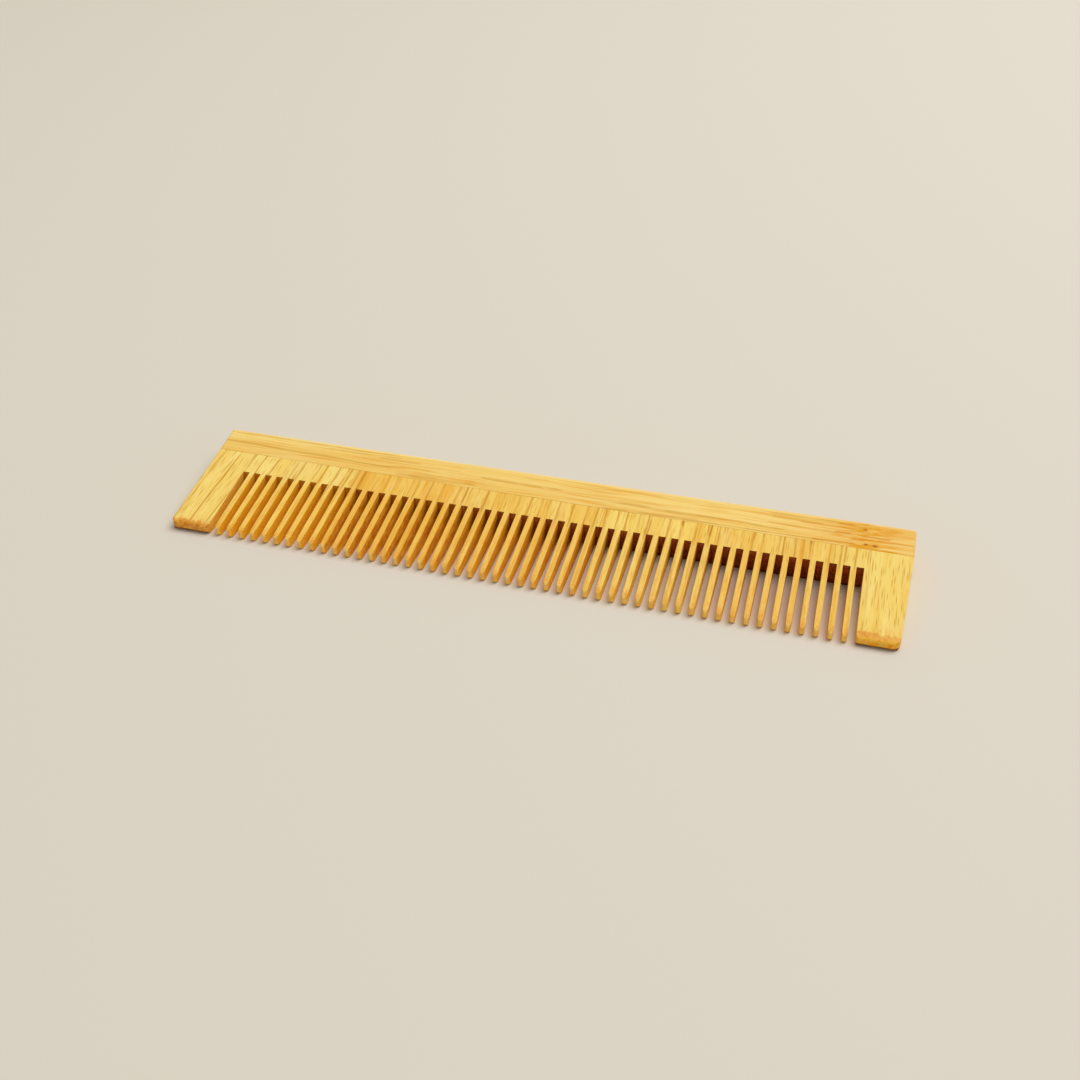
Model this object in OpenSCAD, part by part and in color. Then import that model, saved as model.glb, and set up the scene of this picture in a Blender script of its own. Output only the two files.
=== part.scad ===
// Bamboo hair comb: one long spine strip with six tooth slats glued edge to edge along it.
// X runs along the comb, -Y points to the tooth tips, +Z is up from the face it rests on.
// The origin is the middle of the comb, on that face. All sizes are in millimetres.

/* [Teeth] */
// Distance from one gap to the next
gap_pitch = 3.15; // [3:0.05:4.5]
// Width of the gap between two teeth
gap_width = 1.75; // [1.2:0.05:1.9]
// Length of the teeth at the right end, from the closed end of the gaps to the tips
tooth_length = 21.95; // [16:0.05:30]
// How much the line of tips runs askew to the gaps' closed ends, over the length of the comb
tip_slant = 0.8; // [0:0.05:2]
// Number of fine teeth on each slat, from left to right
slat_teeth = [9, 10, 11, 9, 9, 2]; // [1:1:16]
// Width of the solid guard tooth at the left end
left_guard = 10.4; // [6:0.05:20]
// Width of the solid guard tooth at the right end, at the spine
right_guard = 11.15; // [6:0.05:20]
// Narrowing of the right guard between the spine and its tip
right_taper = 1.4; // [0:0.05:3]

/* [Tooth tips] */
// Length of tooth that narrows towards the tip
tip_taper_length = 5.6; // [3:0.1:10]
// Amount this taper takes off each side of a tooth
side_narrowing = 0.05; // [0.02:0.01:0.2]
// Length of the rounded end of a tooth, seen from above
tip_arc_length = 1.1; // [0.7:0.05:2]
// Amount this rounding takes off each side of a tooth
tip_arc_depth = 0.5; // [0.1:0.02:0.5]
// Radius of the upper edge of the tips, seen from the end of the comb
nose_round = 1.1; // [0.4:0.05:1.2]
// Radius of the lower edge of the tips, which curves up from the face the comb rests on
under_round = 1.2; // [0.4:0.05:1.2]
// Radius of the outer corners of the two guard teeth, seen from above
guard_corner = 2.2; // [0.5:0.1:3]

/* [Body] */
// Solid width between the gaps and the spine, at the left end
band_width = 7.2; // [5:0.1:15]
// Width of the spine strip, at the left end
spine_width = 9.8; // [6:0.1:20]
// How much nearer to the teeth the glue line lies at the right end
joint_slant = 0.85; // [0:0.05:2]
// Height of the sloping top face at the back of the spine
back_height = 8.15; // [6:0.05:12]
// Height of the sloping top face at the tooth tips
tip_height = 2.51; // [2.45:0.02:5]
// Radius of the two long back edges
back_round = 2; // [0.5:0.05:2.75]
// Radius of the back corner at the left end, seen from above
left_back_corner = 1.5; // [0.5:0.1:4]
// Radius of the back corner at the right end, seen from above
right_back_corner = 3; // [0.5:0.1:4]
// Width of the flat taken off the edges of the two ends
end_easing = 0.5; // [0.2:0.05:1]

/* [Hidden] */
$fn = 96;

// Room that a cutter is given beyond the faces it cuts
spare = 1;
// Distance that the outline from above keeps outside the tips and the back, so that only its
// corners cut them
clear = 0.05;
// Amount that a rounding stands proud of its two sides, so that it meets each in a clean line
proud = 0.002;

function total(list, n) = n <= 0 ? 0 : list[n - 1] + total(list, n - 1);

// Overall sizes
tooth_count = total(slat_teeth, len(slat_teeth));
comb_length = left_guard + tooth_count * gap_pitch + gap_width + right_guard;
comb_width = tooth_length + band_width + spine_width;
left_x = -comb_length / 2;
right_x = comb_length / 2;
tip_y = -comb_width / 2;
back_y = comb_width / 2;
root_y = tip_y + tooth_length;

// The top face slopes down in one plane from the back to the tips
slope = atan((back_height - tip_height) / comb_width);
function top_z(y) = tip_height + (y - tip_y) * tan(slope);

// The glue line between the spine and the slats, as a function of x
joint_turn = atan(joint_slant / comb_length);
function joint_y(x) = root_y + band_width - (x - left_x) * tan(joint_turn);

// The right end leans in from the glue line to the tip
right_turn = atan(right_taper / (joint_y(right_x) - tip_y));

// Middle of gap number n, counted from 0 at the left, and the slat edges, which lie in such gaps
function gap_x(n) = left_x + left_guard + gap_width / 2 + n * gap_pitch;
function slat_start(i) = i == 0 ? left_x - spare : gap_x(total(slat_teeth, i));
function slat_end(i) = i == len(slat_teeth) - 1 ? right_x + spare : slat_start(i + 1);

// Middle of slat number i, and the line of its tips, which steps back a little from slat to slat
function slat_middle(i) = (max(left_x, slat_start(i)) + min(right_x, slat_end(i))) / 2;
function slat_tip(i) =
    tip_y + tip_slant * (slat_middle(len(slat_teeth) - 1) - slat_middle(i)) / comb_length;

// Rounding a corner p between its neighbours a and b with radius r
function unit(v) = v / norm(v);
function half_angle(a, p, b) = acos(unit(a - p) * unit(b - p)) / 2;
function round_centre(a, p, b, r) =
    p + unit(unit(a - p) + unit(b - p)) * (r / sin(half_angle(a, p, b)) - proud);
function round_ends(a, p, b, r) = [
    p + unit(a - p) * r / tan(half_angle(a, p, b)),
    p + unit(b - p) * r / tan(half_angle(a, p, b))
];

// A convex outline with each corner rounded to a true arc; radius 0 leaves a corner sharp
module rounded_outline(points, radii) {
    n = len(points);
    polygon([
        for (i = [0 : n - 1])
            each radii[i] > 0
                ? round_ends(points[(i + n - 1) % n], points[i], points[(i + 1) % n], radii[i])
                : [points[i]]
    ]);
    for (i = [0 : n - 1])
        if (radii[i] > 0)
            translate(round_centre(points[(i + n - 1) % n], points[i], points[(i + 1) % n], radii[i]))
                circle(radii[i]);
}

// Cross-section of the comb in Y and Z, with its tips at the given y: a flat wedge with rounded
// back edges and tips
module cross_section(tip) {
    rounded_outline(
        [[tip, 0], [back_y, 0], [back_y, top_z(back_y)], [tip, top_z(tip)]],
        [under_round, back_round, back_round, nose_round]
    );
}

// Outline of the comb from above, with its tips at the given y
module plan_outline(tip) {
    rounded_outline(
        [
            [left_x, tip - clear],
            [right_x - right_taper, tip - clear],
            [right_x, joint_y(right_x)],
            [right_x, back_y + clear],
            [left_x, back_y + clear]
        ],
        [guard_corner, guard_corner, 0, right_back_corner, left_back_corner]
    );
}

// A square bar along Y that takes the sharp corner off an edge through the given point
module edge_bar(point, tilt, turn) {
    side = end_easing * sqrt(2);
    translate(point)
        rotate([tilt, 0, turn])
            rotate([0, 45, 0])
                cube([side, 2 * comb_width, side], center = true);
}

// The whole comb, with its tips at the given y, before it is sawn into teeth and divided into strips
module blank(tip) {
    difference() {
        intersection() {
            translate([left_x - spare, 0, 0])
                rotate([90, 0, 90])
                    linear_extrude(comb_length + 2 * spare)
                        cross_section(tip);
            translate([0, 0, -spare])
                linear_extrude(back_height + 2 * spare)
                    plan_outline(tip);
        }
        edge_bar([left_x, tip_y, 0], 0, 0);
        edge_bar([left_x, tip_y, top_z(tip_y)], slope, 0);
        edge_bar([right_x, joint_y(right_x), 0], 0, -right_turn);
        edge_bar([right_x, joint_y(right_x), top_z(joint_y(right_x))], slope, -right_turn);
    }
}

// Saw cut between two teeth: straight, then a slight taper, then an arc that rounds the tips
module gap_cut(tip) {
    root_half = gap_width / 2;
    tip_half = root_half + side_narrowing;
    mouth = tip_half + 1.5 * tip_arc_depth;
    arc_y = tip + tip_arc_length;
    taper_y = tip + tip_taper_length;
    arc = (pow(tip_arc_length, 2) + pow(tip_arc_depth, 2)) / (2 * tip_arc_depth);
    translate([0, 0, -spare])
        linear_extrude(back_height + 2 * spare) {
            polygon([
                [-root_half, root_y],
                [root_half, root_y],
                [root_half, taper_y],
                [tip_half, arc_y],
                [-tip_half, arc_y],
                [-root_half, taper_y]
            ]);
            difference() {
                translate([-mouth, tip - spare])
                    square([2 * mouth, tip_arc_length + spare]);
                for (side = [-1, 1])
                    translate([side * (tip_half + arc), arc_y])
                        circle(arc);
            }
        }
}

// Space on the tooth side of the glue line, between two x positions
module slat_space(x1, x2) {
    translate([0, 0, -spare])
        linear_extrude(back_height + 2 * spare)
            polygon([[x1, tip_y - spare], [x2, tip_y - spare], [x2, joint_y(x2)], [x1, joint_y(x1)]]);
}

// Space on the back side of the glue line
module spine_space() {
    x1 = left_x - spare;
    x2 = right_x + spare;
    translate([0, 0, -spare])
        linear_extrude(back_height + 2 * spare)
            polygon([[x1, joint_y(x1)], [x2, joint_y(x2)], [x2, back_y + spare], [x1, back_y + spare]]);
}

// Slat number i with its share of the teeth and every gap that touches it
module slat(i) {
    first_gap = total(slat_teeth, i);
    last_gap = first_gap + slat_teeth[i];
    difference() {
        intersection() {
            blank(slat_tip(i));
            slat_space(slat_start(i), slat_end(i));
        }
        for (n = [first_gap : last_gap])
            translate([gap_x(n), 0, 0])
                gap_cut(slat_tip(i));
    }
}

module spine() {
    color("#E9C06A")
        intersection() {
            blank(tip_y);
            spine_space();
        }
}

module left_guard_slat() {
    color("#F0CE72")
        slat(0);
}

module tooth_slat_a() {
    color("#EBBA58")
        slat(1);
}

module tooth_slat_b() {
    color("#ECBF60")
        slat(2);
}

module tooth_slat_c() {
    color("#F0CB6C")
        slat(3);
}

module tooth_slat_d() {
    color("#ECC062")
        slat(4);
}

module right_guard_slat() {
    color("#F1CF76")
        slat(5);
}

spine();
left_guard_slat();
tooth_slat_a();
tooth_slat_b();
tooth_slat_c();
tooth_slat_d();
right_guard_slat();
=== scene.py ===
"""Looks for a bamboo hair comb: one spine strip and six tooth slats, lying on a plain pale table.

Lengths are in metres, as in the frame. Patterns in the materials are laid out in millimetres of
Object coordinates: X along the comb, -Y towards the tooth tips, Z up from the table.
"""
import random
from types import SimpleNamespace

import bpy
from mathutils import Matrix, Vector

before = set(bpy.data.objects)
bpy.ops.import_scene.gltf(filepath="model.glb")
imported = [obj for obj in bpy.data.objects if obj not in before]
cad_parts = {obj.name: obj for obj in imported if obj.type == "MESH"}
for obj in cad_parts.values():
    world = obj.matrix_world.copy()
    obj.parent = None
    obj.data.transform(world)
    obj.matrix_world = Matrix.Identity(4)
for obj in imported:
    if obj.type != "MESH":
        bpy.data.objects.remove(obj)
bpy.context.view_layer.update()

# Metres in a millimetre
MM = 0.001


def linear(red, green, blue):
    """A display colour in 0..255 as linear light.

    With c as the value over 255, that is c over 12.92 up to 0.04045, and above it c plus 0.055, over
    1.055, to the power 2.4.
    """
    def one(value):
        c = value / 255
        return c / 12.92 if c <= 0.04045 else ((c + 0.055) / 1.055) ** 2.4
    return (one(red), one(green), one(blue), 1.0)


# Sizes of the comb in millimetres, as in the part's source
COMB_LENGTH = 180.8
COMB_WIDTH = 38.95
BACK_HEIGHT = 8.15
TIP_HEIGHT = 2.51
TOOTH_LENGTH = 21.95
BAND_WIDTH = 7.2
JOINT_SLANT = 0.85
LEFT_GUARD = 10.4
RIGHT_GUARD = 11.15
GAP_WIDTH = 1.75
GAP_PITCH = 3.15

# Inner walls of the two guard teeth, and the middle of the first gap
LEFT_GUARD_WALL = LEFT_GUARD - COMB_LENGTH / 2
RIGHT_GUARD_WALL = COMB_LENGTH / 2 - RIGHT_GUARD
FIRST_GAP = LEFT_GUARD_WALL + GAP_WIDTH / 2
# Y of the closed ends of the gaps
ROOT_Y = TOOTH_LENGTH - COMB_WIDTH / 2
# Height of the sloping top in the middle of the comb, and its rise per millimetre towards the back
TOP_MIDDLE = (BACK_HEIGHT + TIP_HEIGHT) / 2
TOP_SLOPE = (BACK_HEIGHT - TIP_HEIGHT) / COMB_WIDTH
# Y of the glue line between spine and slats in the middle of the comb, and its rise along X
GLUE_LINE = ROOT_Y + BAND_WIDTH - JOINT_SLANT / 2
GLUE_LINE_LEAN = -JOINT_SLANT / COMB_LENGTH
# Y of the thin line that sets off the painted highlight, a paler strip along the rounded back edge
BACK_HIGHLIGHT_Y = 17.1
# X from which the right guard has short fibres only
LAST_LONG_FIBRE = 81.0

# Stretches of Y, each from where a change begins to where it is complete
TOOTH_TONE = (ROOT_Y + 0.5, -0.5)
WARM_TIPS = (-14.0, -19.0)
DOTTED_TIPS = (-15.0, -17.5)
SANDED_TIPS = (-17.1, -17.9)
# where the sawn sides darken near the closed ends: saw burn and painted shade
SIDES_BURN_AND_SHADE_Y = (-3.5, 1.5)
CLOSED_ENDS = (1.0, 1.6)

# The knuckle of the cane: where along X it lies, how softly it ends, and where the wood warms before it
KNUCKLE = (77.0, 81.0)
KNUCKLE_FADE = 6.5
KNUCKLE_APPROACH = (56.0, 76.0)

# Radius by which the edges are eased, depth of the fibres' relief, and half widths of the glue lines
EDGE_EASING = 0.2
RELIEF_DEPTH = 0.05
SPINE_SEAM = 0.26
SLAT_SEAM = 0.16
# A streak of the spine that is longer than this follows the waves of the grain and breaks here and there
LONG_STREAK = 12
# A streak fades beyond its ends over this share of its length, or over this length if that is more
STREAK_FADE = 0.12
LEAST_FADE = 1.2

# Long dark fibres of the slats, each drawn at random from a range: where the first lies, how far it is
# from one to the next, their half widths and their shares
FIRST_FIBRE = (0.5, 2.0)
FIBRE_STEP = (1.6, 4.4)
FIBRE_HALF_WIDTH = (0.38, 0.5)
FIBRE_SHARE = (0.3, 0.75)
# Room left free of them before the end of a slat
FIBRE_MARGIN = 0.5

# Roughness of the sanded wood, where the relief is low and where it is high, and its gloss
SLAT_ROUGHNESS = (0.5, 0.68)
SPINE_ROUGHNESS = (0.48, 0.66)
WOOD_GLOSS = 0.12

# Tones of the wood and of what marks it
STRAW = linear(252, 225, 144)
HONEY = linear(230, 162, 48)
AMBER = linear(230, 156, 0)
FIBRE_BROWN = linear(198, 132, 0)
RUST = linear(194, 118, 0)
OLIVE = linear(196, 138, 0)
TOFFEE = linear(216, 130, 0)
PORE_BROWN = linear(172, 100, 0)
# Painted shade: the dark brown at the foot of a guard's nose, where it curves under to the table
GUARD_NOSE_FOOT_SHADE = linear(104, 44, 4)
SPINE_PALE = linear(252, 220, 130)
SPINE_WARM = linear(245, 203, 106)

# Tones of the tops of the teeth, and of their tips
TOP_DEEP = linear(234, 172, 62)
TOP_FIBRE = linear(228, 156, 52)
TOP_GLINT = linear(255, 224, 130)
TIP_TAN = linear(232, 160, 60)
TIP_DOT = linear(220, 118, 12)

# Tones of the sawn sides of the teeth
SIDE_GOLD = linear(252, 194, 46)
SIDE_FIBRE = linear(206, 116, 8)
# partly saw burn, partly painted shade low in the slots near the closed ends
SIDE_BURN_AND_SHADE = linear(140, 64, 14)

# Tones of the faces that cross the fibres: noses, the sanded strip before them, and end faces
NOSE_PALE = linear(255, 214, 112)
NOSE_WARM = linear(255, 190, 84)
NOSE_DOT = linear(228, 136, 24)
GUARD_NOSE_DOT = linear(172, 98, 6)
STRIP_PALE = linear(238, 174, 80)
STRIP_WARM = linear(226, 152, 54)
STRIP_DOT = linear(190, 112, 12)
END_FACE = linear(242, 194, 104)
END_FACE_DOT = linear(192, 128, 52)

# Tones of the closed ends of the gaps, darkened by the saw's burning, and the painted shade at their foot
BURNT_DARK = linear(140, 61, 28)
BURNT_LIGHT = linear(174, 86, 40)
BURNT_DOT = linear(222, 134, 86)
# painted shade at the foot of the closed ends, where they meet the table
CLOSED_END_FOOT_SHADE = linear(122, 54, 22)

# Stretches of a noise's values, out of 0 to 1, over which one tone turns into another
WIDE = (0.3, 0.7)
MEDIUM = (0.35, 0.65)
NARROW = (0.38, 0.62)

# Kinds of noise: features per millimetre on each axis (across the fibres, along them and in depth
# where it follows them), a step that sets it apart from the other kinds, its detail and roughness
BANDS = ((0.5, 0.006, 0.25), 0, 2, 0.5)
THREADS = ((2.4, 0.03, 1.6), 5, 3, 0.6)
HAIRS = ((7.0, 0.11, 5.0), 9, 2, 0.6)
CLOUDS = ((0.16, 0.05, 0.16), 2, 2, 0.5)
MOTTLE = ((0.7, 0.35, 0.7), 3, 2, 0.6)
SLAT_WANDER = ((0.12, 0.05, 0.1), 4, 1, 0.5)
SLAT_BREAKS = ((0.6, 0.12, 0.3), 7, 1, 0.5)
SPINE_WAVES = ((0.03, 0.12, 0.1), 6, 2, 0.5)
SPINE_FIBRES = ((2.1, 0.045, 1.6), 1, 1, 0.5)
SPINE_BREAKS = ((0.5, 0.16, 0.4), 8, 1, 0.5)
KNUCKLE_PATCHES = ((1.5, 0.13, 0.5), 2, 3, 0.6)
KNUCKLE_EDGE = ((1.3, 0.08, 0.5), 13, 2, 0.5)
GLUE_PATCHES = ((0.12, 0.3, 0.3), 0, 1, 0.5)

# Short dark fibres of two kinds: a step that sets them apart, how many lie side by side in a
# millimetre, how many times longer than wide each is, and its half width
SHORT_DASHES = (1.0, 1.5, 12.0, 0.2)
LONG_DASHES = (2.0, 0.8, 20.0, 0.24)

# Fibre ends: a step that sets them apart, and how many lie side by side in a millimetre
NOSE_SPECKS = (0.0, 2.2)
TIP_SPECKS = (3.0, 1.9)
END_FACE_SPECKS = (0.0, 2.6)


class Graph:
    """Short names for the nodes of one material or world."""

    def __init__(self, tree):
        self.tree = tree

    def node(self, kind, settings=None, inputs=None):
        """A new node, with its settings and its input sockets as given."""
        made = self.tree.nodes.new(kind)
        for key, value in (settings or {}).items():
            setattr(made, key, value)
        for key, value in (inputs or {}).items():
            self.put(made.inputs[key], value)
        return made

    def put(self, socket, value):
        """Link the socket to a node's output, or set it to a number, colour or vector."""
        if isinstance(value, bpy.types.NodeSocket):
            self.tree.links.new(value, socket)
        else:
            socket.default_value = value

    def math(self, operation, a, b=0.0, c=0.0, clamp=False):
        """One operation on up to three numbers."""
        settings = {"operation": operation, "use_clamp": clamp}
        return self.node("ShaderNodeMath", settings, {0: a, 1: b, 2: c}).outputs[0]

    def plus(self, a, b):
        """a plus b."""
        return self.math("ADD", a, b)

    def minus(self, a, b):
        """a minus b."""
        return self.math("SUBTRACT", a, b)

    def times(self, a, b):
        """a times b."""
        return self.math("MULTIPLY", a, b)

    def size(self, a):
        """a without its sign."""
        return self.math("ABSOLUTE", a)

    def join(self, x, y, z=0.0):
        """The vector of three numbers."""
        return self.node("ShaderNodeCombineXYZ", None, {0: x, 1: y, 2: z}).outputs[0]

    def split(self, vector):
        """The three numbers of a vector."""
        parts = self.node("ShaderNodeSeparateXYZ", None, {0: vector}).outputs
        return parts[0], parts[1], parts[2]

    def mapped(self, vector, scale, place=(0, 0, 0)):
        """The vector times the scale, axis by axis, plus the place."""
        inputs = {"Vector": vector, "Location": place, "Scale": scale}
        return self.node("ShaderNodeMapping", None, inputs).outputs[0]

    def span(self, value, low, high, out_low=0.0, out_high=1.0, smooth=True):
        """value from low..high carried to out_low..out_high, and held outside."""
        return self.node(
            "ShaderNodeMapRange",
            {"interpolation_type": "SMOOTHSTEP" if smooth else "LINEAR"},
            {"Value": value, "From Min": low, "From Max": high, "To Min": out_low, "To Max": out_high},
        ).outputs[0]

    def mix(self, share, a, b):
        """Colour a, with a share of colour b over it."""
        made = self.node("ShaderNodeMix", {"data_type": "RGBA"})
        self.put(made.inputs[0], share)
        self.put(made.inputs[6], a)
        self.put(made.inputs[7], b)
        return made.outputs[2]


class Bamboo(Graph):
    """The nodes of one bamboo material.

    place, and its parts x, y and z, are Object coordinates in millimetres. facing is the direction
    of the surface. seed moves every pattern, so that no two pieces have the same wood.
    """

    def __init__(self, name, seed):
        self.material = bpy.data.materials.new(name)
        self.material.use_nodes = True
        super().__init__(self.material.node_tree)
        self.seed = seed
        where = self.node("ShaderNodeTexCoord")
        self.place = self.mapped(where.outputs["Object"], (1 / MM, 1 / MM, 1 / MM))
        self.x, self.y, self.z = self.split(self.place)
        self.facing = self.split(where.outputs["Normal"])

    def noise(self, at, scale, step, detail, rough):
        """One of the kinds of noise listed above, at the given place, from 0 to 1."""
        moved = self.mapped(at, scale, (self.seed, step, 0))
        inputs = {"Vector": moved, "Scale": 1.0, "Detail": detail, "Roughness": rough}
        return self.node("ShaderNodeTexNoise", None, inputs).outputs["Fac"]

    def line(self, across, middle, half_width):
        """1 on a line at the given place across the fibres, falling smoothly to 0 at half_width from it."""
        return self.span(self.size(self.minus(across, middle)), 0.0, half_width, 1.0, 0.0)

    def between(self, along, start, stop, fade, top=1.0):
        """top between start and stop, falling smoothly to 0 over fade beyond each."""
        begins = self.span(along, start - fade, start)
        return self.times(begins, self.span(along, stop + fade, stop, 0.0, top))

    def oval(self, middle_x, middle_y, length, width, share):
        """share in the middle of an oval, falling smoothly to 0 at its rim.

        The distance from the middle is the root of the sum of two squares: x minus the middle's x,
        over length, and y minus the middle's y, over width.
        """
        along = self.math("POWER", self.math("DIVIDE", self.minus(self.x, middle_x), length), 2.0)
        aside = self.math("POWER", self.math("DIVIDE", self.minus(self.y, middle_y), width), 2.0)
        return self.span(self.math("SQRT", self.plus(along, aside)), 0.2, 1.0, share, 0.0)

    def dashes(self, across, along, step, crowding, stretch, half_width):
        """Short fibres: slim ovals round scattered points, from 1 in their middles to 0 at their rims.

        Each oval is also more or less plain, by a random share of its own.
        """
        scale = (crowding, crowding / stretch, 1.0)
        at = self.mapped(self.join(across, along), scale, (self.seed + step, 0, 0))
        cells = self.node("ShaderNodeTexVoronoi", {"voronoi_dimensions": "2D", "feature": "F1"},
                          {"Vector": at, "Scale": 1.0, "Randomness": 1.0})
        own = self.node("ShaderNodeSeparateColor", None, {0: cells.outputs["Color"]}).outputs[0]
        shape = self.span(cells.outputs["Distance"], 0.0, crowding * half_width, 1.0, 0.0)
        return self.times(shape, self.span(own, 0.0, 0.8, 0.1, 1.0))

    def specks(self, step, crowding):
        """Fibre ends on a face sawn across the grain: small round dots, so many to a millimetre."""
        at = self.mapped(self.place, (1, 1, 1), (self.seed + step, 0, 0))
        dots = self.node("ShaderNodeTexVoronoi", {"feature": "F1"},
                         {"Vector": at, "Scale": crowding, "Randomness": 1.0})
        return self.span(dots.outputs["Distance"], 0.12, 0.42, 1.0, 0.0)

    def grain(self, across, along, depth, pale, warm, fibres):
        """Bamboo along its fibres: broad bands of two tones, with fine pale and dark fibres over them.

        Each pattern is noise that is squeezed across the fibres and stretched along them. fibres is
        how plain the fine ones are. Gives the colour, and the relief of the fibres from 0 to 1.
        """
        at = self.join(across, along, depth)
        threads = self.noise(at, *THREADS)
        hairs = self.noise(at, *HAIRS)
        colour = self.mix(self.span(self.noise(at, *BANDS), 0.32, 0.68), pale, warm)
        colour = self.mix(self.span(self.noise(at, *CLOUDS), 0.45, 0.75, 0.0, 0.35), colour, STRAW)
        colour = self.mix(self.span(threads, 0.5, 0.74, 0.0, 0.6 * fibres), colour, HONEY)
        colour = self.mix(self.span(threads, 0.44, 0.26, 0.0, 0.4 * fibres), colour, STRAW)
        colour = self.mix(self.span(hairs, 0.56, 0.78, 0.0, 0.5 * fibres), colour, HONEY)
        relief = self.plus(self.times(threads, 0.6), self.times(hairs, 0.4))
        return colour, relief

    def finished(self, colour, relief, roughness):
        """The material, with its colour, roughness and relief, and its edges eased by a hand's sanding."""
        shader = self.tree.nodes["Principled BSDF"]
        self.put(shader.inputs["Base Color"], colour)
        self.put(shader.inputs["Roughness"], self.span(relief, *WIDE, *roughness))
        shader.inputs["Specular IOR Level"].default_value = WOOD_GLOSS
        eased = self.node("ShaderNodeBevel", {"samples": 6}, {"Radius": EDGE_EASING * MM})
        bump = self.node("ShaderNodeBump", None,
                         {"Strength": 0.6, "Distance": RELIEF_DEPTH * MM, "Height": relief,
                          "Normal": eased.outputs[0]})
        self.put(shader.inputs["Normal"], bump.outputs[0])
        return self.material


def slat_wood(g, look, lines, glued):
    """Wood of a slat, with its fibres along the teeth. Gives its colour and relief.

    The fibres lean and wander a little, and deeper ones show on the sides of the comb: the place
    across them is x, less the lean times y, plus the wander, plus the height over the sloping top.
    """
    wander = g.span(g.noise(g.place, *SLAT_WANDER), *WIDE, -0.15, 0.15, smooth=False)
    shift = g.plus(g.times(g.y, -look.lean), wander)
    depth = g.minus(g.z, g.math("MULTIPLY_ADD", g.y, TOP_SLOPE, TOP_MIDDLE))
    across = g.plus(g.plus(g.x, shift), depth)
    colour, relief = g.grain(across, g.y, g.z, look.pale, look.warm, look.fibres)

    dashes = g.math("MAXIMUM", g.dashes(across, g.y, *SHORT_DASHES), g.dashes(across, g.y, *LONG_DASHES))
    colour = g.mix(g.times(dashes, look.dashes), colour, OLIVE)
    for middle, half_width, share in look.stains:
        colour = g.mix(g.times(g.line(across, middle, half_width), share), colour, AMBER)
    broken = g.span(g.noise(g.join(across, g.y, g.z), *SLAT_BREAKS), 0.38, 0.52, 0.4, 1.0)
    for middle, half_width, share, tint in lines:
        colour = g.mix(g.times(g.line(across, middle, half_width), g.times(broken, share)), colour, tint)
    for end in glued:
        colour = g.mix(g.times(g.line(g.x, end, SLAT_SEAM), 0.4), colour, FIBRE_BROWN)
    return colour, relief


def tooth_tops(g, look, colour, relief, mottle):
    """The tops of the teeth: each warmer than the band above by its own share, and dotted at the tip."""
    row = g.between(g.x, LEFT_GUARD_WALL + 0.3, RIGHT_GUARD_WALL - 0.25, 0.3, 0.65)
    tooth = g.math("FLOOR", g.math("DIVIDE", g.minus(g.x, FIRST_GAP), GAP_PITCH))
    own = g.node("ShaderNodeTexWhiteNoise", {"noise_dimensions": "1D"}, {"W": tooth}).outputs["Value"]
    tops = g.mix(g.times(own, 0.45), look.teeth, TOP_DEEP)
    tops = g.mix(g.span(relief, 0.48, 0.6, 0.0, 0.45), tops, TOP_FIBRE)
    tops = g.mix(g.span(relief, 0.46, 0.36, 0.0, 0.4), tops, TOP_GLINT)
    colour = g.mix(g.times(g.span(g.y, *TOOTH_TONE), row), colour, tops)
    warmth = g.times(g.span(g.y, *WARM_TIPS), g.span(mottle, *MEDIUM, 0.0, 0.65))
    colour = g.mix(warmth, colour, TIP_TAN)
    dots = g.times(g.span(g.y, *DOTTED_TIPS, 0.0, 1.3 * look.nose_dots), g.specks(*TIP_SPECKS))
    return g.mix(g.times(dots, row), colour, TIP_DOT)


def sawn_sides(g, look, relief, mottle):
    """The sawn sides of the teeth, darker low down near the closed ends: saw burn and painted shade."""
    side = g.mix(g.span(mottle, *MEDIUM), look.flank, SIDE_GOLD)
    side = g.mix(g.span(relief, 0.42, 0.62, 0.0, 0.4), side, SIDE_FIBRE)
    # saw burn and painted shade, darker low in the slot near the closed end
    side_burn_and_shade = g.times(g.span(g.y, *SIDES_BURN_AND_SHADE_Y), g.span(g.z, 4.8, 2.2, 0.1, 0.6 * look.scorch))
    return g.mix(side_burn_and_shade, side, SIDE_BURN_AND_SHADE)


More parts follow.
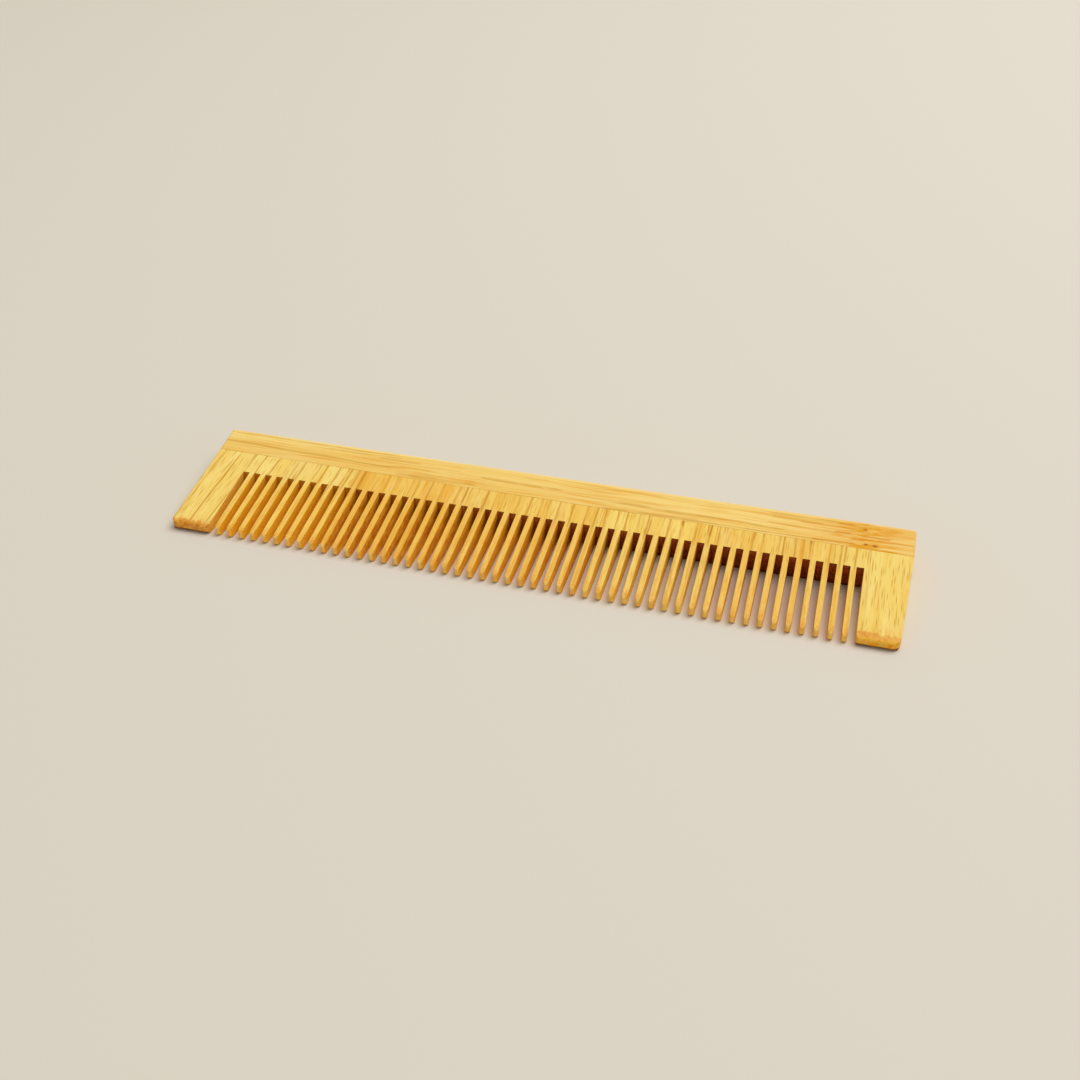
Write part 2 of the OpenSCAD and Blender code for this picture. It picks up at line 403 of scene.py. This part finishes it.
def noses(g, look, colour, mottle, forwards):
    """The rounded noses of teeth and guards, with fibre ends on them, and the sanded strip before them.

    The foot of a guard's nose has painted shade, dark where it curves under to the table, with a ragged
    edge.
    """
    guards = g.math("MAXIMUM", g.span(g.x, LEFT_GUARD_WALL + 0.2, LEFT_GUARD_WALL - 0.2),
                    g.span(g.x, RIGHT_GUARD_WALL - 0.05, RIGHT_GUARD_WALL + 0.35))
    dots = g.specks(*NOSE_SPECKS)
    tooth_nose = g.mix(g.span(mottle, *NARROW), NOSE_PALE, NOSE_WARM)
    tooth_nose = g.mix(g.times(dots, 0.9 * look.nose_dots), tooth_nose, NOSE_DOT)
    guard_nose = g.mix(g.span(mottle, *NARROW), look.nose_pale, look.nose_warm)
    guard_nose = g.mix(g.times(dots, look.nose_dots), guard_nose, GUARD_NOSE_DOT)
    # painted shade at the foot of a guard's nose, with a ragged upper edge
    ragged_shade_z = g.plus(g.z, g.span(mottle, *WIDE, -0.12, 0.12, smooth=False))
    guard_nose = g.mix(g.span(ragged_shade_z, 0.95, 0.55, 0.0, 0.95), guard_nose, GUARD_NOSE_FOOT_SHADE)
    ragged_y = g.plus(g.y, g.span(mottle, *WIDE, 0.5, -0.5, smooth=False))
    sanded = g.times(g.span(ragged_y, *SANDED_TIPS), g.math("MULTIPLY_ADD", guards, 0.75, 0.15))
    strip = g.mix(g.span(mottle, *NARROW), STRIP_PALE, STRIP_WARM)
    strip = g.mix(g.times(dots, look.nose_dots), strip, STRIP_DOT)
    colour = g.mix(sanded, colour, strip)
    return g.mix(g.span(forwards, 0.2, 0.7, 0.0, 0.95), colour, g.mix(guards, tooth_nose, guard_nose))


def closed_ends(g, look, colour, side, mottle, forwards):
    """The closed ends of the gaps, darkened by the saw's burning, and painted darker at the foot as shade.
    """
    burn_and_foot_shade = g.mix(g.span(mottle, *MEDIUM), BURNT_DARK, BURNT_LIGHT)
    burn_and_foot_shade = g.mix(g.times(g.specks(*NOSE_SPECKS), 0.8), burn_and_foot_shade, BURNT_DOT)
    # painted shade: darker towards the foot of the closed end, where it meets the table
    burn_and_foot_shade = g.mix(g.span(g.z, 1.2, 0.1), burn_and_foot_shade, CLOSED_END_FOOT_SHADE)
    closed = g.times(g.span(forwards, 0.8, 0.95), g.span(g.y, *CLOSED_ENDS))
    return g.mix(closed, colour, g.mix(look.scorch, side, burn_and_foot_shade))


def bamboo_slat(name, seed, look, lines, glued):
    """A slat's material: its wood, then what the saw and the sanding made of each kind of face.

    lines are its long dark fibres, and glued holds the x of its glued sides.
    """
    g = Bamboo(name, seed)
    forwards = g.times(g.facing[1], -1.0)
    mottle = g.noise(g.place, *MOTTLE)
    colour, relief = slat_wood(g, look, lines, glued)
    colour = tooth_tops(g, look, colour, relief, mottle)
    side = sawn_sides(g, look, relief, mottle)
    in_gap = g.between(g.x, LEFT_GUARD_WALL + 0.1, RIGHT_GUARD_WALL - 0.25, 0.3)
    colour = g.mix(g.times(g.span(g.size(g.facing[0]), 0.6, 0.9), in_gap), colour, side)
    colour = noses(g, look, colour, mottle, forwards)
    colour = closed_ends(g, look, colour, side, mottle, forwards)
    return g.finished(colour, relief, SLAT_ROUGHNESS)


def knuckle(g, at, colour):
    """The knuckle: a warm stain across the strip, with an uneven edge and smaller stains in it."""
    patches = g.noise(at, *KNUCKLE_PATCHES)
    ragged_x = g.plus(g.x, g.span(g.noise(at, *KNUCKLE_EDGE), *WIDE, -6, 6, smooth=False))
    approach = g.times(g.span(g.x, *KNUCKLE_APPROACH, 0.0, 0.5), g.span(patches, 0.3, 0.65, 0.2, 0.7))
    colour = g.mix(approach, colour, HONEY)
    body = g.times(g.between(ragged_x, *KNUCKLE, KNUCKLE_FADE), g.span(g.y, 18.4, 16.4, 0.3, 1.0))
    colour = g.mix(g.times(body, g.span(patches, 0.38, 0.6, 0.3, 1.0)), colour, AMBER)
    for stain in KNUCKLE_STAINS:
        colour = g.mix(g.oval(*stain), colour, AMBER)
    return colour


def streaks(g, at, across, colour):
    """The dark streaks of the spine. A streak's y runs evenly from that of its first end to its last."""
    broken = g.span(g.noise(at, *SPINE_BREAKS), 0.38, 0.5, 0.5, 1.0)
    for first, last, y_first, y_last, half_width, share, tint in SPINE_STREAKS:
        is_long = last - first > LONG_STREAK
        middle = g.span(g.x, first, last, y_first, y_last, smooth=False)
        line = g.line(across if is_long else g.y, middle, half_width)
        reach = g.between(g.x, first, last, max(LEAST_FADE, STREAK_FADE * (last - first)))
        plain = g.times(broken, share) if is_long else share
        colour = g.mix(g.times(line, g.times(reach, plain)), colour, tint)
    return colour


def bamboo_spine(name, seed):
    """The spine's material: fibres along the comb in long shallow waves, and a knuckle near the right."""
    g = Bamboo(name, seed)
    waves = g.span(g.noise(g.place, *SPINE_WAVES), *WIDE, -0.5, 0.5, smooth=False)
    across = g.plus(g.y, waves)
    colour, relief = g.grain(across, g.x, g.z, SPINE_PALE, SPINE_WARM, fibres=1.25)
    at = g.join(across, g.x, g.z)
    colour = g.mix(g.span(g.noise(at, *SPINE_FIBRES), 0.56, 0.7, 0.0, 0.6), colour, HONEY)

    # the painted highlight: a paler strip where the rounded back edge faces the lamp
    colour = g.mix(g.span(g.y, BACK_HIGHLIGHT_Y, BACK_HIGHLIGHT_Y + 0.4, 0.0, 0.45), colour, STRAW)
    colour = g.mix(g.times(g.line(across, BACK_HIGHLIGHT_Y, 0.16), 0.35), colour, OLIVE)

    colour = knuckle(g, at, colour)
    colour = streaks(g, at, across, colour)
    for pore in KNUCKLE_PORES:
        colour = g.mix(g.oval(*pore), colour, PORE_BROWN)

    # the glue line against the slats, plainer in some places than in others
    glue_y = g.math("MULTIPLY_ADD", g.x, GLUE_LINE_LEAN, GLUE_LINE)
    plain = g.span(g.noise(g.place, *GLUE_PATCHES), 0.4, 0.6, 0.3, 0.65)
    colour = g.mix(g.times(g.line(g.y, glue_y, SPINE_SEAM), plain), colour, OLIVE)

    # fibre ends on the two end faces
    crossed = g.mix(g.times(g.specks(*END_FACE_SPECKS), 0.55), END_FACE, END_FACE_DOT)
    colour = g.mix(g.span(g.size(g.facing[0]), 0.3, 0.8, 0.0, 0.9), colour, crossed)
    return g.finished(colour, relief, SPINE_ROUGHNESS)


def long_fibres(seed, first, last):
    """Long dark fibres at random places between two x, each as (x, half width, share, colour)."""
    draw = random.Random(seed)
    fibres = []
    x = first + draw.uniform(*FIRST_FIBRE)
    while x < last - FIBRE_MARGIN:
        half_width = draw.uniform(*FIBRE_HALF_WIDTH)
        share = draw.uniform(*FIBRE_SHARE)
        fibres.append((x, half_width, share, draw.choice((OLIVE, FIBRE_BROWN, RUST))))
        x += draw.uniform(*FIBRE_STEP)
    return fibres


def slat_look(**given):
    """How one slat looks: what is given for it, and what is usual on this comb for the rest.

    pale and warm are the two tones of the wood, teeth that of the tops of the teeth, and flank that
    of their sawn sides. lean is how far the fibres run to the side per millimetre of tooth. fibres
    is how plain the fine fibres are, and dashes the share of the short dark ones. scorch is
    how far the saw has darkened the closed ends of the gaps by burning, and how dark the painted shade
    is low on the sawn sides near them. nose_pale and nose_warm are the two tones of a
    guard's nose, and nose_dots is how plainly fibre ends show on noses. lines holds (x, half width,
    share, colour) of the plainest long fibres, and stains (x, half width, share) of warm bands.
    """
    usual = {"lean": 0.0, "fibres": 1.0, "nose_pale": STRAW, "nose_warm": HONEY}
    return SimpleNamespace(**{**usual, **given})


# The slats from left to right
SLATS = {
    "left_guard_slat": slat_look(
        pale=linear(255, 227, 130),
        warm=linear(250, 213, 108),
        teeth=linear(255, 207, 92),
        flank=linear(255, 189, 24),
        nose_pale=linear(246, 176, 74),
        nose_warm=linear(222, 142, 40),
        nose_dots=0.85,
        lean=0.06,
        fibres=0.55,
        dashes=0.75,
        scorch=0.3,
        lines=[(-53.5, 0.46, 0.85, FIBRE_BROWN)],
        stains=[(-66.0, 1.2, 0.2)],
    ),
    "tooth_slat_a": slat_look(
        pale=linear(249, 205, 98),
        warm=linear(243, 187, 74),
        teeth=linear(249, 191, 78),
        flank=linear(230, 151, 12),
        nose_dots=0.5,
        dashes=0.4,
        scorch=0.55,
        lines=[(-48.5, 0.5, 0.66, RUST), (-20.5, 0.42, 0.8, RUST)],
        stains=[(-47.9, 1.8, 0.45), (-30.0, 3.0, 0.15)],
    ),
    "tooth_slat_b": slat_look(
        pale=linear(250, 212, 106),
        warm=linear(243, 195, 86),
        teeth=linear(249, 197, 92),
        flank=linear(242, 171, 20),
        nose_dots=0.5,
        dashes=0.5,
        scorch=0.85,
        lines=[(-15.0, 0.42, 0.66, FIBRE_BROWN)],
        stains=[(0.5, 2.2, 0.15)],
    ),
    "tooth_slat_c": slat_look(
        pale=linear(253, 221, 114),
        warm=linear(247, 207, 96),
        teeth=linear(251, 211, 112),
        flank=linear(255, 219, 84),
        nose_dots=0.4,
        lean=-0.02,
        fibres=0.9,
        dashes=0.6,
        scorch=1.0,
        lines=[(27.5, 0.44, 0.66, RUST), (35.5, 0.5, 0.85, RUST), (42.5, 0.42, 0.95, RUST)],
        stains=[(16.0, 1.3, 0.35), (29.0, 2.4, 0.2), (40.0, 1.7, 0.4)],
    ),
    "tooth_slat_d": slat_look(
        pale=linear(249, 211, 108),
        warm=linear(241, 194, 84),
        teeth=linear(249, 201, 98),
        flank=linear(254, 195, 52),
        nose_dots=0.4,
        lean=-0.01,
        fibres=0.9,
        dashes=0.6,
        scorch=1.0,
        lines=[(60.0, 0.46, 0.8, FIBRE_BROWN), (66.5, 0.46, 0.95, RUST)],
        stains=[(52.5, 2.0, 0.25), (64.5, 1.2, 0.6)],
    ),
    "right_guard_slat": slat_look(
        pale=linear(250, 222, 122),
        warm=linear(244, 206, 96),
        teeth=linear(247, 197, 82),
        flank=linear(254, 195, 52),
        nose_pale=linear(255, 196, 74),
        nose_warm=linear(250, 164, 20),
        nose_dots=0.35,
        fibres=0.55,
        dashes=0.75,
        scorch=1.0,
        lines=[(74.5, 0.42, 0.7, FIBRE_BROWN)],
        stains=[(75.0, 1.4, 0.2)],
    ),
}

# Streaks of the spine: first x, last x, y at the first, y at the last, half width, share and colour
SPINE_STREAKS = [
    (-84.0, -45.0, 17.3, 17.2, 0.38, 0.43, OLIVE),
    (-60.0, -42.0, 16.2, 16.2, 0.42, 0.43, OLIVE),
    (-90.4, -43.3, 13.3, 12.6, 0.6, 0.49, OLIVE),
    (-46.3, -36.3, 15.4, 15.4, 0.55, 0.38, OLIVE),
    (-39.3, -20.3, 11.3, 11.3, 0.6, 0.49, HONEY),
    (-39.3, -20.3, 10.4, 10.4, 0.55, 0.58, FIBRE_BROWN),
    (-17.3, 1.7, 13.4, 13.4, 0.58, 0.52, OLIVE),
    (17.7, 57.0, 12.0, 11.6, 0.55, 0.6, OLIVE),
    (15.7, 36.7, 9.6, 10.3, 0.55, 0.58, FIBRE_BROWN),
    (35.5, 67.0, 9.8, 9.8, 0.48, 0.6, OLIVE),
    (56.7, 74.7, 17.0, 17.0, 0.49, 0.38, OLIVE),
    (56.7, 67.7, 15.5, 15.5, 0.49, 0.43, OLIVE),
    (56.7, 74.7, 13.7, 13.7, 0.5, 0.52, OLIVE),
    (66.7, 75.7, 9.9, 10.2, 0.46, 0.8, TOFFEE),
    (63.7, 75.2, 15.2, 15.2, 0.46, 0.55, TOFFEE),
    (72.0, 74.5, 13.6, 13.6, 0.5, 0.7, TOFFEE),
    (72.4, 75.2, 16.6, 16.6, 0.46, 0.7, TOFFEE),
    (78.4, 83.9, 13.2, 13.2, 0.5, 0.75, TOFFEE),
    (78.0, 79.5, 12.0, 12.0, 0.46, 0.7, TOFFEE),
    (75.7, 77.9, 11.7, 11.7, 0.5, 0.7, TOFFEE),
    (75.4, 81.2, 9.2, 9.2, 0.5, 0.7, AMBER),
    (82.0, 89.5, 12.3, 12.3, 0.46, 0.6, TOFFEE),
]
# Pores and stains of the knuckle: x, y, length, width and share
KNUCKLE_PORES = [
    (78.4, 15.6, 0.8, 0.5, 0.85),
    (78.95, 10.5, 0.8, 0.55, 0.95),
    (81.1, 10.4, 1.1, 0.62, 0.95),
    (78.5, 17.5, 0.45, 0.2, 0.8),
    (79.0, 18.0, 0.4, 0.18, 0.7),
]
KNUCKLE_STAINS = [
    (83.5, 15.5, 3.6, 1.3, 0.7),
    (81.4, 16.3, 1.2, 0.5, 0.8),
    (81.0, 14.8, 1.2, 0.5, 0.8),
    (80.5, 10.3, 3.2, 1.0, 0.6),
    (77.5, 12.6, 2.6, 1.4, 0.4),
]

# How far one slat's patterns lie from the next one's, and where the spine's lie
SLAT_SEED_STEP = 7.0
SPINE_SEED = 3.0

# The table: half its side, how far it lies under the comb, and its paint
TABLE_HALF = 1.5
TABLE_DROP = 0.05 * MM
TABLE_COLOUR = linear(222, 215, 201)
TABLE_ROUGHNESS = 0.8
TABLE_GLOSS = 0.2

# The lamp over the comb
LAMP_PLACE = (0.72, 0.6, 1.8)
LAMP_SIZE = 1.92
LAMP_POWER = 29.6
LAMP_COLOUR = (0.92, 0.936, 1.0)

# The room: colour and strength of its light, and the colour of its walls
ROOM_LIGHT = (1, 0.95, 0.84, 1)
ROOM_STRENGTH = 0.5
ROOM_WALL = linear(218, 212, 199)

# The camera: its place, the direction it looks in, its lens and sensor in millimetres, and the nearest
# that it sees
CAMERA_PLACE = (0.06844, -0.24706, 0.18578)
CAMERA_DIRECTION = (-0.21339, 0.78192, -0.58572)
CAMERA_LENS = 42.36
CAMERA_SENSOR = 36
CAMERA_NEAREST = 0.01


def finish_with(node, material):
    """Give a CAD node its material in place of the one it came with."""
    node.data.materials.clear()
    node.data.materials.append(material)


def sides_of(node):
    """The least and the greatest x of a CAD node, in millimetres."""
    places = [corner[0] / MM for corner in node.bound_box]
    return min(places), max(places)


def dress_slats():
    """Give each slat its material. Every side but the comb's two ends is glued to a neighbour."""
    last_number = len(SLATS) - 1
    for number, (piece, look) in enumerate(SLATS.items()):
        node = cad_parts[piece]
        left, right = sides_of(node)
        glued = ([left] if number > 0 else []) + ([right] if number < last_number else [])
        lines = look.lines + long_fibres(number, left, min(right, LAST_LONG_FIBRE))
        finish_with(node, bamboo_slat(piece + "_bamboo", SLAT_SEED_STEP * number, look, lines, glued))


def place_table():
    """A plain pale table far wider than the view."""
    mesh = bpy.data.meshes.new("table_top")
    sides = ((-1, -1), (1, -1), (1, 1), (-1, 1))
    mesh.from_pydata([(x * TABLE_HALF, y * TABLE_HALF, -TABLE_DROP) for x, y in sides], [], [(0, 1, 2, 3)])
    table = bpy.data.objects.new("table_top", mesh)
    bpy.context.scene.collection.objects.link(table)
    paint = bpy.data.materials.new("table_paint")
    paint.use_nodes = True
    shader = paint.node_tree.nodes["Principled BSDF"]
    shader.inputs["Base Color"].default_value = TABLE_COLOUR
    shader.inputs["Roughness"].default_value = TABLE_ROUGHNESS
    shader.inputs["Specular IOR Level"].default_value = TABLE_GLOSS
    mesh.materials.append(paint)


def aimed(made, place, direction):
    """Put a lamp or camera in the scene at a place, looking in a direction."""
    made.location = place
    made.rotation_euler = Vector(direction).to_track_quat("-Z", "Y").to_euler()
    bpy.context.scene.collection.objects.link(made)
    return made


def place_lamp():
    """One broad soft lamp behind and above the comb, turned to its middle."""
    lamp = bpy.data.lights.new("overhead_lamp", "AREA")
    lamp.shape = "DISK"
    lamp.size = LAMP_SIZE
    lamp.energy = LAMP_POWER
    lamp.color = LAMP_COLOUR
    aimed(bpy.data.objects.new("overhead_lamp", lamp), LAMP_PLACE, -Vector(LAMP_PLACE))


def pale_room():
    """Plain warm light from all round, which the camera and reflections see as a pale wall."""
    world = bpy.data.worlds.new("room")
    world.use_nodes = True
    g = Graph(world.node_tree)
    light = world.node_tree.nodes["Background"]
    light.inputs["Color"].default_value = ROOM_LIGHT
    light.inputs["Strength"].default_value = ROOM_STRENGTH
    wall = g.node("ShaderNodeBackground", None, {"Color": ROOM_WALL})
    ray = g.node("ShaderNodeLightPath").outputs
    seen = g.math("ADD", ray["Is Camera Ray"], ray["Is Glossy Ray"], clamp=True)
    seen = g.math("ADD", seen, ray["Is Transmission Ray"], clamp=True)
    both = g.node("ShaderNodeMixShader", None, {0: seen, 1: light.outputs[0], 2: wall.outputs[0]})
    g.put(world.node_tree.nodes["World Output"].inputs["Surface"], both.outputs[0])
    bpy.context.scene.world = world


def place_camera():
    """The camera, before the comb and above it."""
    camera = bpy.data.cameras.new("view")
    camera.lens = CAMERA_LENS
    camera.sensor_width = CAMERA_SENSOR
    camera.clip_start = CAMERA_NEAREST
    made = aimed(bpy.data.objects.new("view", camera), CAMERA_PLACE, CAMERA_DIRECTION)
    bpy.context.scene.camera = made


dress_slats()
finish_with(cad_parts["spine"], bamboo_spine("spine_bamboo", SPINE_SEED))
place_table()
place_lamp()
pale_room()
place_camera()
bpy.context.scene.view_settings.view_transform = "Standard"
